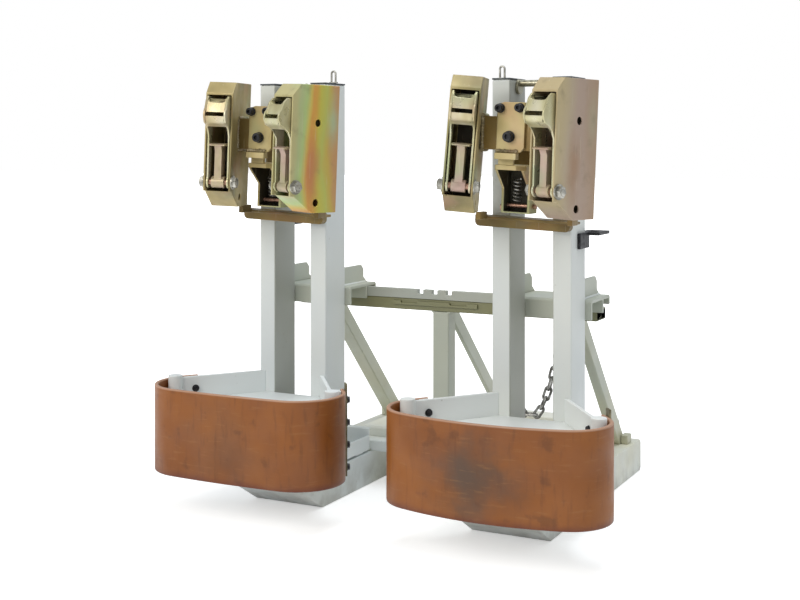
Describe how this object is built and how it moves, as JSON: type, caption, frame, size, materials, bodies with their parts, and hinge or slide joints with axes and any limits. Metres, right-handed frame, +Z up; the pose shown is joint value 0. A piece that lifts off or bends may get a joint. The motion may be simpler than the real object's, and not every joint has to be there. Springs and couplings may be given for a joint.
{
  "type": "forklift drum clamp",
  "caption": "Fork-mounted drum clamp: fork pockets, rail frame and two post units, each with a sliding beak-and-jaw gripping head and a belt cradle.",
  "frame": {"origin": "on the ground, under the middle of the outline", "axes": "+X runs along the rail from the left clamp unit to the right one, -Y is the side that the drums stand on, +Z is up"},
  "size_m": [1.1619, 0.9848, 1.0867],
  "materials": {
    "white_paint": "white paint, satin",
    "zinc_chromate": "yellow passivated zinc plating",
    "bright_steel": "bright plated steel",
    "dark_steel": "dark oiled steel",
    "black_oxide": "black oxide",
    "belt_rubber": "satin orange-brown rubber belting",
    "copper_pin": "copper coloured"
  },
  "bodies": {
    "base": {"left_fork_pocket": "white_paint", "right_fork_pocket": "white_paint", "cross_members": "white_paint", "centre_column": "white_paint", "rail_beam": "white_paint", "notched_rail": "white_paint", "rail_strip": "white_paint", "braces": "white_paint", "safety_chain": "dark_steel", "chain_anchors": "white_paint"},
    "left_unit": {"left_posts": "white_paint", "left_post_caps": "white_paint", "left_top_rod": "zinc_chromate", "left_hanger_spring": "bright_steel", "left_lifting_eye": "bright_steel", "left_hook_channel": "white_paint", "left_foot_tray": "white_paint", "left_cradle_arms": "white_paint", "left_cradle_shelves": "white_paint", "left_belt": "belt_rubber", "left_belt_strips": "white_paint", "left_belt_bolts": "black_oxide", "left_grab_handle": "black_oxide"},
    "left_head": {"left_head_carriage": "zinc_chromate", "left_head_bridge": "zinc_chromate", "left_centre_plate": "zinc_chromate", "left_cap_screws": "black_oxide", "left_housings": "zinc_chromate", "left_pivot_bolts": "bright_steel", "left_yoke": "zinc_chromate", "left_yoke_pin": "copper_pin"},
    "left_outer_beak": {"left_outer_beak": "zinc_chromate"},
    "left_outer_jaw": {"left_outer_jaw": "zinc_chromate"},
    "left_inner_beak": {"left_inner_beak": "zinc_chromate"},
    "left_inner_jaw": {"left_inner_jaw": "zinc_chromate"},
    "right_unit": {"right_posts": "white_paint", "right_post_caps": "white_paint", "right_top_rod": "zinc_chromate", "right_hanger_spring": "bright_steel", "right_lifting_eye": "bright_steel", "right_hook_channel": "white_paint", "right_foot_tray": "white_paint", "right_cradle_arms": "white_paint", "right_cradle_shelves": "white_paint", "right_belt": "belt_rubber", "right_belt_strips": "white_paint", "right_belt_bolts": "black_oxide", "right_grab_handle": "black_oxide"},
    "right_head": {"right_head_carriage": "zinc_chromate", "right_head_bridge": "zinc_chromate", "right_centre_plate": "zinc_chromate", "right_cap_screws": "black_oxide", "right_housings": "zinc_chromate", "right_pivot_bolts": "bright_steel", "right_yoke": "zinc_chromate", "right_yoke_pin": "copper_pin"},
    "right_outer_beak": {"right_outer_beak": "zinc_chromate"},
    "right_outer_jaw": {"right_outer_jaw": "zinc_chromate"},
    "right_inner_beak": {"right_inner_beak": "zinc_chromate"},
    "right_inner_jaw": {"right_inner_jaw": "zinc_chromate"}
  },
  "joints": [
    {"name": "left_unit_slide", "type": "slide", "parent": "base", "child": "left_unit", "axis": [1, 0, 0], "range_m": [0, 0.0405]},
    {"name": "left_head_slide", "type": "slide", "parent": "left_unit", "child": "left_head", "axis": [0, 0, 1], "range_m": [-0.08, 0], "deforming": ["left_hanger_spring"]},
    {"name": "left_outer_beak_pivot", "type": "hinge", "parent": "left_head", "child": "left_outer_beak", "pos_m": [-0.39838, -0.38457, 0.80608], "axis": [0.9555, 0.2924, -0.04], "range_deg": [-6, 8], "stiffness_Nm_per_rad": 20},
    {"name": "left_outer_jaw_pivot", "type": "hinge", "parent": "left_head", "child": "left_outer_jaw", "pos_m": [-0.39838, -0.38457, 0.80608], "axis": [0.9555, 0.2924, -0.04], "range_deg": [-4, 4], "stiffness_Nm_per_rad": 10},
    {"name": "left_inner_beak_pivot", "type": "hinge", "parent": "left_head", "child": "left_inner_beak", "pos_m": [-0.20783, -0.38457, 0.79809], "axis": [0.9555, -0.2924, -0.04], "range_deg": [-6, 8], "stiffness_Nm_per_rad": 20},
    {"name": "left_inner_jaw_pivot", "type": "hinge", "parent": "left_head", "child": "left_inner_jaw", "pos_m": [-0.20783, -0.38457, 0.79809], "axis": [0.9555, -0.2924, -0.04], "range_deg": [-4, 4], "stiffness_Nm_per_rad": 10},
    {"name": "right_unit_slide", "type": "slide", "parent": "base", "child": "right_unit", "axis": [1, 0, 0], "range_m": [-0.0405, 0]},
    {"name": "right_head_slide", "type": "slide", "parent": "right_unit", "child": "right_head", "axis": [0, 0, 1], "range_m": [-0.08, 0], "deforming": ["right_hanger_spring"]},
    {"name": "right_outer_beak_pivot", "type": "hinge", "parent": "right_head", "child": "right_outer_beak", "pos_m": [0.44217, -0.38457, 0.79809], "axis": [0.9555, -0.2924, -0.04], "range_deg": [-6, 8], "stiffness_Nm_per_rad": 20},
    {"name": "right_outer_jaw_pivot", "type": "hinge", "parent": "right_head", "child": "right_outer_jaw", "pos_m": [0.44217, -0.38457, 0.79809], "axis": [0.9555, -0.2924, -0.04], "range_deg": [-4, 4], "stiffness_Nm_per_rad": 10},
    {"name": "right_inner_beak_pivot", "type": "hinge", "parent": "right_head", "child": "right_inner_beak", "pos_m": [0.2411, -0.3878, 0.80677], "axis": [0.9526, 0.2921, -0.0853], "range_deg": [-6, 8], "stiffness_Nm_per_rad": 20},
    {"name": "right_inner_jaw_pivot", "type": "hinge", "parent": "right_head", "child": "right_inner_jaw", "pos_m": [0.2411, -0.3878, 0.80677], "axis": [0.9526, 0.2921, -0.0853], "range_deg": [-4, 4], "stiffness_Nm_per_rad": 10}
  ]
}
